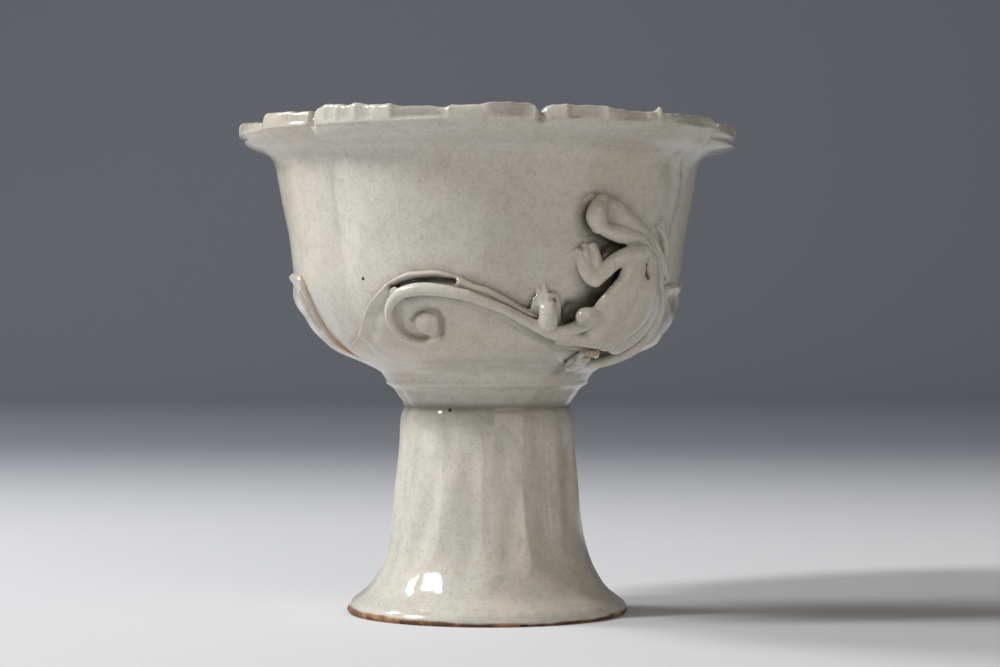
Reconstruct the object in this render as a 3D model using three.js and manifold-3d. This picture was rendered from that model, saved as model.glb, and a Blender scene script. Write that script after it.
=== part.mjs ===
// A porcelain libation cup: a six-lobed flower bowl on a hollow stem, with three outer petals
// round its base and a hand-rolled chilong, a hornless dragon, climbing its right front.
// Each piece is one that a potter forms by itself and lutes on with slip before the cup is glazed.
// Millimetres, +Z up, the foot's middle on the ground at the origin, the front facing -Y.
// Azimuths are in degrees round the cup: 0 at the front, 90 at the right.
import * as THREE from "three";
import { mergeVertices } from "three/addons/utils/BufferGeometryUtils.js";
import Module from "manifold-3d";

const wasm = await Module();
wasm.setup();

// Foot: a hollow stem that flares to a flat ring
const footHeight = 41.4;
const footRimRadius = 28;
const footEdge = 1.2;
const flareRadius = 21.9;
const flareHeight = 7.9;
const stemRadius = 18.6;
const stemHeight = 22;
const neckRadius = 16.7;
const footWall = 3.4;
const fluteCount = 14;
const fluteDepth = 0.25;

// Collar: the ring of clay between bowl and foot, with a ledge over a cove
const collarHeight = 5.2;
const ledgeRadius = 20.2;
const ledgeThickness = 1.4;
const coveDepth = 1.6;

// Bowl
const bowlHeight = 51.2;
const shoulderRadius = 38;
const shoulderRise = 18;
const throatRadius = 42.2;
const bowlWall = 2.5;
const bowlFloor = 5;
const lobeCount = 6;
const grooveAzimuth = 13.5;
const grooveDepth = 1.5;

// Lip: the flared flange, cut into scallops
const lipReach = 7.4;
const lipHeight = 7.8;
const lipBand = 3;
const lipRound = 0.9;
const scallopsPerLobe = 3;
const scallopDepth = 0.6;
const notchDepth = 0.8;

// Outer petals
const petalThickness = 1.5;
const petalTip = 0.65;
const petalHeight = 20.5;
const petalFoot = 2.2;
const petalEndHeight = 1.6;
const petalCurl = 0.8;
const petalSpacing = 2;
const petalSeat = 0.45;

// The gap that stands for the slip between two luted pieces
const luteGap = 0.3;

// How finely round pieces are faceted
const wallSegments = 84;
const ringSegments = 48;
const facetsPerFlute = 4;
const smallestEdge = 0.02;
const mergeDistance = 0.001;

// Places worked out from those sizes
const bowlBase = footHeight + collarHeight;
const rimHeight = bowlBase + bowlHeight;
const throatHeight = rimHeight - lipHeight;
const lipRadius = throatRadius + lipReach;
const boreRadius = neckRadius - footWall;

const { degToRad, radToDeg, lerp, mapLinear, smoothstep } = THREE.MathUtils;

const cup = new THREE.Group();

// Shared shapes

// A point from its azimuth, its distance from the axis and its height
function point(azimuth, radius, height) {
  const angle = degToRad(azimuth);
  return new THREE.Vector3(radius * Math.sin(angle), -radius * Math.cos(angle), height);
}

// A smooth outline through stops of radius and height
function outline(stops) {
  return new THREE.SplineCurve(stops.map(([radius, height]) => new THREE.Vector2(radius, height)));
}

function pointsOf(curve, count) {
  return curve.getPoints(count).map((p) => [p.x, p.y]);
}

// The radius at one height of an outline whose height only grows
function radiusOn(curve, height) {
  const stops = curve.getPoints(80);
  const next = stops.findIndex((p) => p.y >= height);
  if (next === 0) return stops[0].x;
  if (next < 0) return stops[stops.length - 1].x;
  const [low, high] = [stops[next - 1], stops[next]];
  return mapLinear(height, low.y, high.y, low.x, high.x);
}

// A closed body from a geometry, its shared corners merged
function toSolid(geometry) {
  const bare = geometry.clone();
  bare.deleteAttribute("normal");
  bare.deleteAttribute("uv");
  const merged = mergeVertices(bare, mergeDistance);
  const index = merged.index.array;
  const triangles = [];
  for (let i = 0; i < index.length; i += 3) {
    const [a, b, c] = index.slice(i, i + 3);
    if (a !== b && b !== c && c !== a) triangles.push(a, b, c);
  }
  const mesh = new wasm.Mesh({
    numProp: 3,
    vertProperties: Float32Array.from(merged.attributes.position.array),
    triVerts: Uint32Array.from(triangles),
  });
  return new wasm.Manifold(mesh);
}

function toGeometry(solid) {
  const mesh = solid.getMesh();
  const geometry = new THREE.BufferGeometry();
  geometry.setAttribute("position", new THREE.BufferAttribute(Float32Array.from(mesh.vertProperties), 3));
  geometry.setIndex(new THREE.BufferAttribute(Uint32Array.from(mesh.triVerts), 1));
  geometry.computeVertexNormals();
  return geometry;
}

function add(name, solid, material) {
  const mesh = new THREE.Mesh(toGeometry(solid), material);
  mesh.name = name;
  cup.add(mesh);
}

// A body from four-sided faces, each a list of corners seen anticlockwise from outside
function fromQuads(quads) {
  const positions = [];
  for (const [a, b, c, d] of quads) {
    for (const p of [a, b, c, a, c, d]) positions.push(p.x, p.y, p.z);
  }
  const geometry = new THREE.BufferGeometry();
  geometry.setAttribute("position", new THREE.Float32BufferAttribute(positions, 3));
  return toSolid(geometry);
}

// A profile spun round Z, each of its points then moved by a rule on azimuth, radius and height
function turned(profile, segments, rule) {
  const stops = profile.map(([radius, height]) => new THREE.Vector2(radius, height));
  const geometry = new THREE.LatheGeometry(stops, segments);
  geometry.rotateX(Math.PI / 2);
  const place = geometry.attributes.position;
  for (let i = 0; i < place.count; i++) {
    const [x, y, z] = [place.getX(i), place.getY(i), place.getZ(i)];
    const azimuth = radToDeg(Math.atan2(x, -y));
    const moved = point(azimuth, ...rule(azimuth, Math.hypot(x, y), z));
    place.setXYZ(i, moved.x, moved.y, moved.z);
  }
  return toSolid(geometry);
}

// The main body of a cut piece, without slivers
function largest(solid) {
  return solid.decompose().sort((a, b) => b.volume() - a.volume())[0];
}

// A cut piece's main body without the hair-thin folds that cuts leave
function cleaned(solid) {
  return largest(toSolid(toGeometry(largest(solid.simplify(smallestEdge)))));
}

const glaze = new THREE.MeshStandardMaterial({ color: 0xc6c8bd, roughness: 0.18, metalness: 0 });
const thinGlaze = new THREE.MeshStandardMaterial({ color: 0xc2bfae, roughness: 0.25, metalness: 0 });

// Foot

const footOutside = outline([
  [footRimRadius, footEdge],
  [lerp(flareRadius, footRimRadius, 0.74), lerp(footEdge, flareHeight, 0.3)],
  [flareRadius, flareHeight],
  [lerp(stemRadius, flareRadius, 0.22), lerp(flareHeight, stemHeight, 0.6)],
  [stemRadius, stemHeight],
  [lerp(stemRadius, neckRadius, 0.6), lerp(stemHeight, footHeight, 0.8)],
  [neckRadius, footHeight],
]);
const footInside = outline([
  [boreRadius, footHeight],
  [boreRadius + 0.4, stemHeight],
  [flareRadius - footWall - 1.8, flareHeight + 3],
  [footRimRadius - footWall - 1, 0],
]);

// Faint flutes up the outside of the stem, which fade out towards the flare and the neck
function fluted(azimuth, radius, height) {
  const up = height / footHeight;
  const fade = smoothstep(up, 0.15, 0.4) * (1 - smoothstep(up, 0.8, 0.97));
  const skin = radiusOn(footOutside, height);
  const outside = smoothstep(radius, skin - footWall / 2, skin);
  const hollow = Math.abs(Math.cos((fluteCount / 2) * degToRad(azimuth))) ** 3;
  return [radius - fluteDepth * fade * outside * hollow, height];
}

const footProfile = [
  ...pointsOf(footOutside, 11),
  ...pointsOf(footInside, 4),
  [footRimRadius - footEdge, 0],
  [footRimRadius, footEdge],
];
add("foot", turned(footProfile, fluteCount * facetsPerFlute, fluted), glaze);

// Collar

const ledgeBottom = bowlBase - ledgeThickness;
const collarProfile = [
  [boreRadius, footHeight],
  [neckRadius, footHeight],
  [neckRadius + coveDepth * 0.4, lerp(footHeight, ledgeBottom, 0.4)],
  [neckRadius + coveDepth, lerp(footHeight, ledgeBottom, 0.85)],
  [ledgeRadius - 0.5, ledgeBottom],
  [ledgeRadius, ledgeBottom + ledgeThickness / 2],
  [ledgeRadius - 0.2, bowlBase],
  [boreRadius, bowlBase],
  [boreRadius, footHeight],
];
add("collar", turned(collarProfile, ringSegments, (azimuth, radius, height) => [radius, height]), glaze);

// Bowl

const midWallRadius = lerp(shoulderRadius, throatRadius, 0.45);
const midWallHeight = bowlBase + shoulderRise * 1.65;
const insideTop = [throatRadius - bowlWall, throatHeight - 1.5];

// The outside of the wall, from the collar up to the throat under the lip
const wallOutside = outline([
  [ledgeRadius + 0.2, bowlBase],
  [ledgeRadius + 2, bowlBase + 2],
  [lerp(ledgeRadius, shoulderRadius, 0.5), bowlBase + shoulderRise * 0.31],
  [lerp(ledgeRadius, shoulderRadius, 0.77), bowlBase + shoulderRise * 0.58],
  [shoulderRadius, bowlBase + shoulderRise],
  [midWallRadius, midWallHeight],
  [throatRadius, throatHeight],
]);
const lipUnderside = outline([
  [throatRadius, throatHeight],
  [throatRadius + lipReach * 0.22, throatHeight + lipHeight * 0.18],
  [lipRadius - 1.2, throatHeight + lipHeight * 0.42],
  [lipRadius, rimHeight - lipBand],
]);
const lipTop = outline([
  [lipRadius, rimHeight - lipRound],
  [lipRadius - lipRound, rimHeight],
  [lipRadius - 2.5 * lipRound, rimHeight - 0.1],
  [throatRadius - bowlWall + lipReach * 0.3, throatHeight + lipHeight * 0.45],
  insideTop,
]);
const wallInside = outline([
  insideTop,
  [midWallRadius - bowlWall, midWallHeight],
  [shoulderRadius - bowlWall - 0.6, bowlBase + shoulderRise + 0.4],
  [lerp(ledgeRadius, shoulderRadius, 0.62) - bowlWall, bowlBase + shoulderRise * 0.58],
  [boreRadius, bowlBase + bowlFloor + 0.8],
  [0, bowlBase + bowlFloor],
]);

// 1 in a groove between two lobes, 0 on a lobe's crown
function groove(azimuth) {
  return (1 - Math.abs(Math.sin((lobeCount / 2) * degToRad(azimuth - grooveAzimuth)))) ** 1.8;
}

// The flower: grooves draw the wall in, and the lip's edge drops between scallops and at grooves
function lobed(azimuth, radius, height) {
  const rise = smoothstep(height, bowlBase + 1, bowlBase + shoulderRise);
  const onWall = smoothstep(radius, boreRadius, ledgeRadius);
  const onLip = smoothstep(height, throatHeight, rimHeight);
  const turn = (lobeCount * scallopsPerLobe * degToRad(azimuth - grooveAzimuth)) / 2;
  const scallop = Math.abs(Math.sin(turn)) ** 0.6;
  const drop = onLip * (scallopDepth * (1 - scallop) + notchDepth * groove(azimuth));
  return [radius - grooveDepth * rise * onWall * groove(azimuth), height - drop];
}

const bowlProfile = [
  [0, bowlBase],
  ...pointsOf(wallOutside, 10),
  ...pointsOf(lipUnderside, 4).slice(1),
  ...pointsOf(lipTop, 5),
  ...pointsOf(wallInside, 6).slice(1),
];
add("bowl", turned(bowlProfile, wallSegments, lobed), glaze);

// The outer wall's radius under an applied piece
function wallRadius(azimuth, height) {
  return lobed(azimuth, radiusOn(wallOutside, height), height)[0];
}

// Bowl and lip as one filled body, larger by the luting gap, that applied pieces are cut by
function filledBowl() {
  const grown = ([radius, height]) => [radius + luteGap * 1.2, height - luteGap * 0.2];
  const profile = [
    [0, bowlBase - luteGap],
    [ledgeRadius, bowlBase - luteGap],
    ...pointsOf(wallOutside, 10).map(grown),
    ...pointsOf(lipUnderside, 4).slice(1).map(grown),
    [0, rimHeight - lipBand],
  ];
  return turned(profile, wallSegments, lobed);
}

// What later pieces are cut by, each already larger by the luting gap
const neighbours = [filledBowl()];

// Outer petals: leaves cut from a thin sheet and pressed on the wall, their free edges curled off it

// Each petal's middle and half its width, in degrees round the cup, and how square its crown is:
// under 1 it is broad, and over 1 it comes to a soft point
const petals = [
  { name: "calyx_front", middle: -14, half: 68, crown: 2.4 },
  { name: "calyx_right", middle: 114, half: 52, crown: 0.4 },
  { name: "calyx_left", middle: -138, half: 56, crown: 0.6 },
];

// Height of a petal's free edge, from its middle at 0 to its ends at -1 and 1
function petalEdge(across, crown) {
  const low = bowlBase + petalFoot + petalEndHeight;
  const share = Math.max(0, Math.cos((across * Math.PI) / 2)) ** crown;
  return lerp(low, bowlBase + petalHeight, share);
}

function petalSheet({ middle, half, crown }, grow) {
  const [columns, rows] = [Math.round(half / 3), 5];
  const corner = (column, row, side) => {
    const across = Math.sin(Math.PI * (column / columns - 0.5));
    const up = row / rows;
    const azimuth = middle + (half - petalSpacing / 2 + grow) * across;
    const height = lerp(bowlBase + petalFoot - grow, petalEdge(across, crown) + grow, up);
    const inner = petalSeat + petalCurl * smoothstep(up, 0.6, 1);
    const thickness = petalThickness * lerp(1, petalTip, smoothstep(up, 0.7, 1));
    const off = side === "outer" ? inner + thickness + grow : inner - grow;
    return point(azimuth, wallRadius(azimuth, height) + off, height);
  };
  const quads = [];
  for (let c = 0; c < columns; c++) {
    for (let r = 0; r < rows; r++) {
      const cell = [[c, r], [c + 1, r], [c + 1, r + 1], [c, r + 1]];
      quads.push(cell.map(([column, row]) => corner(column, row, "outer")));
      quads.push(cell.reverse().map(([column, row]) => corner(column, row, "inner")));
    }
  }
  // A strip of the rim, from one corner of the grid to the next
  const rim = (from, to) => {
    const strip = [[from, "inner"], [to, "inner"], [to, "outer"], [from, "outer"]];
    quads.push(strip.map(([place, side]) => corner(...place, side)));
  };
  for (let c = 0; c < columns; c++) {
    rim([c, 0], [c + 1, 0]);
    rim([c + 1, rows], [c, rows]);
  }
  for (let r = 0; r < rows; r++) {
    rim([0, r + 1], [0, r]);
    rim([columns, r], [columns, r + 1]);
  }
  return fromQuads(quads);
}

for (const petal of petals) {
  add(petal.name, largest(petalSheet(petal, 0).subtract(neighbours[0])), thinGlaze);
  neighbours.push(petalSheet(petal, luteGap));
}

// Dragon: rolls of clay, each pressed flat where it lies on the cup

// A place is an azimuth, a rise above the bowl's base and a distance off the wall. A stop adds half
// the roll's width along the wall and half its depth off the wall.
const neckBase = [43.5, 25.2, 1.3];
const nape = [40, 27.4, 1.8];
const shoulder = [43, 25.1, 3.2];
const elbow = [29.5, 18.9, 2];
const wrist = [25.8, 24.2, 1.5];
const hip = [41.3, 9.8, 3.4];
const knee = [29, 13, 3.2];
const ankle = [19.6, 10.2, 2.3];
const farWrist = [57.4, 28.1, 1];
const farAnkle = [46, 5.6, 2.9];
const maneRoot = [46.8, 27.9, 1.1];
const tailTurn = [-5, 16.2, 3.2];
const rump = [37, 8.8, 2];

// One roll with round ends, larger all round by a growth: short convex lengths from ring to ring
function roll({ stops, sides = 8, steps = 8 }, grow) {
  const places = stops.map(([azimuth, rise, off]) => {
    const height = bowlBase + rise;
    return point(azimuth, wallRadius(azimuth, height) + off, height);
  });
  const path = new THREE.CatmullRomCurve3(places, false, "centripetal");
  const ring = (share, back, shrink) => {
    const place = share * (stops.length - 1);
    const low = Math.min(Math.floor(place), stops.length - 2);
    const width = lerp(stops[low][3], stops[low + 1][3], place - low) + grow;
    const depth = lerp(stops[low][4], stops[low + 1][4], place - low) + grow;
    const centre = path.getPoint(share);
    const along = path.getTangent(share);
    const outward = new THREE.Vector3(centre.x, centre.y, 0).normalize();
    const across = new THREE.Vector3().crossVectors(outward, along).normalize();
    outward.crossVectors(along, across).normalize();
    centre.addScaledVector(along, back * Math.min(width, depth));
    return Array.from({ length: sides }, (_, side) => {
      const turn = (2 * Math.PI * side) / sides;
      return centre.clone()
        .addScaledVector(across, Math.cos(turn) * width * shrink)
        .addScaledVector(outward, -Math.sin(turn) * depth * shrink);
    });
  };
  const capTurns = [0.15, 0.55].map((share) => (share * Math.PI) / 2);
  const rings = [
    ...capTurns.map((turn) => ring(0, -Math.cos(turn), Math.sin(turn))),
    ...Array.from({ length: steps + 1 }, (_, i) => ring(i / steps, 0, 1)),
    ...capTurns.reverse().map((turn) => ring(1, Math.cos(turn), Math.sin(turn))),
  ];
  const lengths = rings.slice(1).map((next, i) => {
    return wasm.Manifold.hull([...rings[i], ...next].map((corner) => corner.toArray()));
  });
  return largest(wasm.Manifold.union(lengths));
}

// Rolls joined into one piece and cut by every piece laid before it
function lay(name, rolls) {
  const joined = (grow) => rolls.map((each) => roll(each, grow)).reduce((sum, solid) => sum.add(solid));
  const piece = neighbours.reduce((rest, other) => rest.subtract(other), joined(0));
  add(name, cleaned(piece), glaze);
  neighbours.push(joined(luteGap));
}

// A claw from its paw to its tip
function claw(from, to) {
  return { stops: [[...from, 0.95, 0.9], [...to, 0.5, 0.5]], sides: 6, steps: 3 };
}

lay("dragon_torso", [{
  stops: [
    [...neckBase, 2.6, 2.2],
    [43.2, 22, 1.3, 3.6, 2.8],
    [43, 19, 1.3, 4.2, 3],
    [42.4, 15.8, 1.3, 4.7, 3],
    [41.2, 12.4, 1.4, 4.9, 2.9],
    [39.2, 9.8, 1.6, 4.2, 2.6],
    [...rump, 2.9, 2.2],
  ],
  sides: 12,
  steps: 14,
}]);

lay("dragon_neck", [{
  stops: [[...nape, 1.9, 1.7], [...neckBase, 2.2, 2]],
  sides: 10,
  steps: 4,
}]);

lay("dragon_head", [{
  stops: [
    [27.2, 31.9, 2, 2.7, 2],
    [30.4, 31.9, 2.3, 3.3, 2.6],
    [34.2, 31.3, 2.4, 3, 2.6],
    [38.9, 30.1, 2.1, 2.3, 2.2],
    [43.4, 28.7, 1.7, 1.5, 1.6],
    [47.5, 27.9, 1.3, 0.7, 0.8],
  ],
  sides: 12,
  steps: 10,
}]);

lay("dragon_jaw", [{
  stops: [
    [28.2, 29, 1.5, 1.1, 1.2],
    [32, 28.3, 1.9, 1.4, 1.4],
    [37, 27.4, 1.9, 1.3, 1.3],
    [42, 26.8, 1.7, 1.1, 1.1],
  ],
}]);

lay("dragon_eye_right", [{ stops: [[32.4, 33.4, 4.1, 0.9, 0.9], [32.9, 33.3, 4.2, 0.9, 0.9]], steps: 1 }]);
lay("dragon_eye_left", [{ stops: [[28.6, 34, 3.4, 0.8, 0.8], [29.1, 34, 3.5, 0.8, 0.8]], steps: 1 }]);

lay("mane_lock_inner", [{
  stops: [
    [...maneRoot, 0.8, 0.8],
    [49.4, 25.2, 1.7, 1.1, 0.9],
    [52, 22.3, 1.7, 1.3, 0.9],
    [54.3, 19.7, 1.1, 0.9, 0.7],
  ],
}]);
lay("mane_lock_outer", [{
  stops: [
    [49, 28, 1, 0.7, 0.7],
    [53, 25.2, 1.3, 1.1, 0.8],
    [56.8, 22.4, 1.2, 1.3, 0.8],
    [60, 19.7, 0.8, 0.9, 0.6],
  ],
}]);

lay("near_upper_foreleg", [{
  stops: [
    [...shoulder, 1.9, 1.8],
    [38.6, 25, 3.2, 1.9, 1.8],
    [34.9, 24.1, 2.8, 1.8, 1.7],
    [32.9, 22.2, 2.4, 1.6, 1.6],
    [31.2, 19.9, 2.1, 1.5, 1.5],
    [...elbow, 1.5, 1.5],
  ],
  sides: 10,
  steps: 10,
}]);
lay("near_forearm", [{
  stops: [
    [...elbow, 1.5, 1.4],
    [27.9, 20.5, 1.9, 1.6, 1.3],
    [26.6, 22.6, 1.7, 1.7, 1.2],
    [...wrist, 1.9, 1.1],
  ],
  sides: 10,
}]);
lay("near_fore_paw", [
  claw([24.8, 24.4, 1.4], [22.8, 25.8, 1]),
  claw([25.8, 24.6, 1.4], [25.5, 26.4, 1]),
  claw([26.8, 24.4, 1.4], [28.8, 26.2, 1]),
]);

lay("far_foreleg", [{
  stops: [[60.5, 22, 1.1, 0.9, 0.9], [60.6, 25, 1.2, 1, 1], [59.2, 27, 1.1, 1, 1], [...farWrist, 1, 0.9]],
}]);
lay("far_fore_paw", [
  claw([57, 28.6, 1], [54.6, 29.7, 0.7]),
  claw([57.2, 28.8, 1], [56.6, 30.8, 0.7]),
  claw([58, 28.6, 1], [59.6, 30.2, 0.7]),
]);

lay("near_haunch", [{
  stops: [[...hip, 2.4, 2.2], [34.6, 11.6, 3.7, 2.2, 2.1], [...knee, 2.1, 2.1]],
  sides: 10,
  steps: 6,
}]);
lay("near_shin", [{
  stops: [[...knee, 1.6, 1.5], [26.3, 11.4, 2.8, 1.4, 1.3], [23, 10.5, 2.5, 1.2, 1.2], [...ankle, 1.1, 1.1]],
}]);
lay("near_hind_paw", [
  { stops: [[...ankle, 1.2, 1.2], [17.4, 12.2, 2.5, 1.6, 1.5], [16.8, 14.2, 2.1, 1.3, 1.2]], steps: 5 },
  claw([16.4, 14.4, 1.9], [14.4, 16.4, 1.2]),
  claw([16.8, 14.6, 1.9], [16.6, 17, 1.2]),
  claw([17.3, 14.2, 1.9], [19.2, 15.8, 1.2]),
]);
lay("far_hind_leg", [{
  stops: [
    [49, 16.6, 2.6, 1.7, 1.6],
    [54.5, 15.4, 2.2, 1.7, 1.6],
    [58.8, 12.8, 1.6, 1.5, 1.5],
    [59.8, 9.8, 1.4, 1.3, 1.3],
    [58, 7.2, 1.5, 1.2, 1.2],
    [53, 5.6, 2.2, 1.1, 1.1],
    [...farAnkle, 1.1, 1.1],
  ],
  steps: 12,
}]);
lay("far_hind_paw", [{
  stops: [
    [...farAnkle, 1.2, 1.2],
    [38.5, 5.8, 2.9, 1.7, 1.5],
    [34.6, 4.7, 2.8, 1.5, 1.3],
    [32, 3.9, 2.5, 1, 0.9],
  ],
  steps: 6,
}]);

lay("tail_root", [{
  stops: [
    [...rump, 1.9, 1.8],
    [28.6, 8.9, 2.5, 1.6, 1.5],
    [20, 9.5, 2.9, 1.4, 1.4],
    [12.3, 11.5, 3, 1.3, 1.3],
    [5.7, 13.6, 3.1, 1.25, 1.25],
    [-0.5, 15.2, 3.2, 1.2, 1.2],
    [...tailTurn, 1.15, 1.15],
  ],
  steps: 16,
}]);
lay("tail_scroll", [{
  stops: [
    [...tailTurn, 1.15, 1.15],
    [-12.2, 17.6, 3.5, 1.15, 1.15],
    [-18, 18, 3.5, 1.1, 1.1],
    [-22.6, 17.5, 3.4, 1.1, 1.1],
    [-25.7, 15.6, 3.2, 1.05, 1.05],
    [-27.2, 13, 3.1, 1, 1],
    [-26.7, 10.6, 3, 1, 1],
    [-24.4, 8.9, 3, 1, 1],
    [-20.1, 8.4, 3, 1, 1],
    [-16.2, 9.5, 3, 1, 1],
    [-14.7, 11.5, 3, 1.05, 1],
    [-15.9, 12.9, 3, 1.1, 1],
    [-18, 12.6, 3, 1.2, 1],
  ],
  steps: 30,
  sides: 7,
}]);

export default cup;
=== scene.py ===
"""A glazed porcelain libation cup: a six-lobed bowl with outer petals on a hollow stem, and a clay dragon."""

import bmesh
import bpy
import numpy as np
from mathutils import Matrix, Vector


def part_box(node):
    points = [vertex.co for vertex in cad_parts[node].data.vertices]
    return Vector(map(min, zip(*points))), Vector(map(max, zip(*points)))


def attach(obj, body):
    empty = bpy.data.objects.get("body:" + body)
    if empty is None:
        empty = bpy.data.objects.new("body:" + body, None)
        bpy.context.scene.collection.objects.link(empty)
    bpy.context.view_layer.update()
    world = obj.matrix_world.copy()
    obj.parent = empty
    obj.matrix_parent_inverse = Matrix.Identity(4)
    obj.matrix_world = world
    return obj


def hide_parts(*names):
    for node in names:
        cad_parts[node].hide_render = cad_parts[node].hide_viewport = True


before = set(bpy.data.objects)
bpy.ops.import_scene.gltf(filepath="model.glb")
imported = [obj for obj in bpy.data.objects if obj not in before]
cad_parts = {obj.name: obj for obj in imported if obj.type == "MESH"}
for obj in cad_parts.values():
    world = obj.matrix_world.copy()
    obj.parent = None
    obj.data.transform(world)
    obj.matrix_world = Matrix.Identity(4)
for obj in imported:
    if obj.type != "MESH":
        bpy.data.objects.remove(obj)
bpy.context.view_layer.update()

# Floor, light and camera
# A pale matt table top that sweeps up behind the cup and darkens there, two soft boxes side by side at
# the left and a weak fill, seen level from 54 cm away with the optical axis above the picture's middle.
MM = 0.001
MERGE = 0.001 * MM
CAMERA_DISTANCE = 540 * MM
CAMERA_HEIGHT = 60 * MM
CAMERA_RIGHT = 2.6 * MM
LENS = 97
SHIFT_UP = -0.0215
FLOOR_REACH = 4000
SWEEP_START = 1300
SWEEP_RADIUS = 500
SWEEP_TOP = 2000
ROOM = "#BAB8B4"
ROOM_STRENGTH = 0.36


def linear(hex_colour):
    """An sRGB hex colour as the linear RGBA that shaders read."""
    values = np.array([int(hex_colour[i:i + 2], 16) for i in (1, 3, 5)]) / 255
    values = np.where(values <= 0.04045, values / 12.92, ((values + 0.055) / 1.055) ** 2.4)
    return (*values.tolist(), 1.0)


def add_node(tree, kind, inputs=None, **settings):
    """A shader node with its settings and its inputs, which are named or numbered.

    Each input is another node's output, which is linked, or a value."""
    node = tree.nodes.new(kind)
    for name, value in settings.items():
        setattr(node, name, value)
    for name, source in (inputs or {}).items():
        if isinstance(source, bpy.types.NodeSocket):
            tree.links.new(source, node.inputs[name])
        else:
            node.inputs[name].default_value = source
    return node


def new_material(name):
    """A material with only a Principled shader and its output."""
    material = bpy.data.materials.new(name)
    material.use_nodes = True
    return material, material.node_tree, material.node_tree.nodes["Principled BSDF"]


def mesh_object(name, points, faces, marks=None, closed=True):
    """A smooth mesh at the origin from points in mm, faces and marks, which are one value a point.

    A closed one has the points that fall together merged and its openings filled."""
    mesh = bpy.data.meshes.new(name)
    mesh.from_pydata((points * MM).tolist(), [], faces.tolist())
    for mark, values in (marks or {}).items():
        mesh.attributes.new(mark, "FLOAT", "POINT").data.foreach_set("value", np.ravel(values))
    if closed:
        shape = bmesh.new()
        shape.from_mesh(mesh)
        bmesh.ops.remove_doubles(shape, verts=shape.verts, dist=MERGE)
        bmesh.ops.holes_fill(shape, edges=shape.edges)
        bmesh.ops.recalc_face_normals(shape, faces=shape.faces)
        shape.to_mesh(mesh)
        shape.free()
    mesh.polygons.foreach_set("use_smooth", np.ones(len(mesh.polygons), bool))
    thing = bpy.data.objects.new(mesh.name, mesh)
    bpy.context.scene.collection.objects.link(thing)
    return thing


def grid_faces(rows, columns, close_columns=False):
    """Quads of a grid of points that is numbered row by row; closed, its last column joins its first."""
    r = np.arange(rows - 1)[:, None]
    c = np.arange(columns if close_columns else columns - 1)[None, :]
    right = (c + 1) % columns
    corners = [r * columns + c, r * columns + right, (r + 1) * columns + right, (r + 1) * columns + c]
    return np.stack([np.broadcast_to(k, (r.size, c.size)) for k in corners], axis=-1).reshape(-1, 4)


def floor_and_backdrop():
    """A strip carried from in front of the camera, along the ground and up a quarter circle behind.

    It is matt paper, which takes the cup's shadow without gloss, and darkens from 12 to 74 cm behind it."""
    turn = np.linspace(0, np.pi / 2, 40)
    y = SWEEP_START + SWEEP_RADIUS * np.sin(turn)
    y = np.concatenate([[-FLOOR_REACH], y, [SWEEP_START + SWEEP_RADIUS]])[:, None]
    z = np.concatenate([[0], SWEEP_RADIUS * (1 - np.cos(turn)), [SWEEP_TOP]])[:, None]
    x = np.array([[-FLOOR_REACH, FLOOR_REACH]])
    points = np.stack(np.broadcast_arrays(x, y, z), axis=-1).reshape(-1, 3)
    floor = mesh_object("floor", points, grid_faces(len(y), 2), closed=False)
    material, tree, shader = new_material("matt_paper")
    shader.inputs["Roughness"].default_value = 0.9
    place = add_node(tree, "ShaderNodeTexCoord").outputs["Object"]
    behind = add_node(tree, "ShaderNodeSeparateXYZ", {"Vector": place}).outputs["Y"]
    shade = add_node(tree, "ShaderNodeMapRange", {"Value": behind, "From Min": 0.12, "From Max": 0.74},
                     interpolation_type="SMOOTHSTEP")
    paper = add_node(tree, "ShaderNodeValToRGB", {"Fac": shade.outputs[0]})
    paper.color_ramp.elements[0].color = linear("#CFD0D3")
    paper.color_ramp.elements[1].color = linear("#80848D")
    tree.links.new(paper.outputs["Color"], shader.inputs["Base Color"])
    floor.data.materials.append(material)


def soft_box(name, place, size, power, colour="#FFFFFF"):
    """A rectangular area light facing the cup's middle; place and size are in metres, power in watts."""
    light = bpy.data.lights.new(name, "AREA")
    light.shape = "RECTANGLE"
    light.size, light.size_y = size
    light.energy = power
    light.color = linear(colour)[:3]
    lamp = bpy.data.objects.new(name, light)
    lamp.location = place
    aim = Vector((0, 0, CAMERA_HEIGHT)) - Vector(place)
    lamp.rotation_euler = aim.to_track_quat("-Z", "Y").to_euler()
    bpy.context.scene.collection.objects.link(lamp)


floor_and_backdrop()
soft_box("key_left", (-1.06, 0.31, 0.94), (0.34, 0.36), 12)
soft_box("key_right", (-0.98, -0.33, 0.92), (0.16, 0.36), 14)
soft_box("fill", (0.5, -1.1, 0.5), (0.9, 0.9), 3.2, "#FFF3E6")
world = bpy.data.worlds.new("studio")
bpy.context.scene.world = world
world.use_nodes = True
world.node_tree.nodes["Background"].inputs["Color"].default_value = linear(ROOM)
world.node_tree.nodes["Background"].inputs["Strength"].default_value = ROOM_STRENGTH

camera = bpy.data.cameras.new("camera")
camera.lens = LENS
camera.shift_y = SHIFT_UP
eye = bpy.data.objects.new("camera", camera)
eye.location = (CAMERA_RIGHT, -CAMERA_DISTANCE, CAMERA_HEIGHT)
eye.rotation_euler = (np.pi / 2, 0, 0)
bpy.context.scene.collection.objects.link(eye)
bpy.context.scene.camera = eye
bpy.context.scene.view_settings.view_transform = "Standard"

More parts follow.
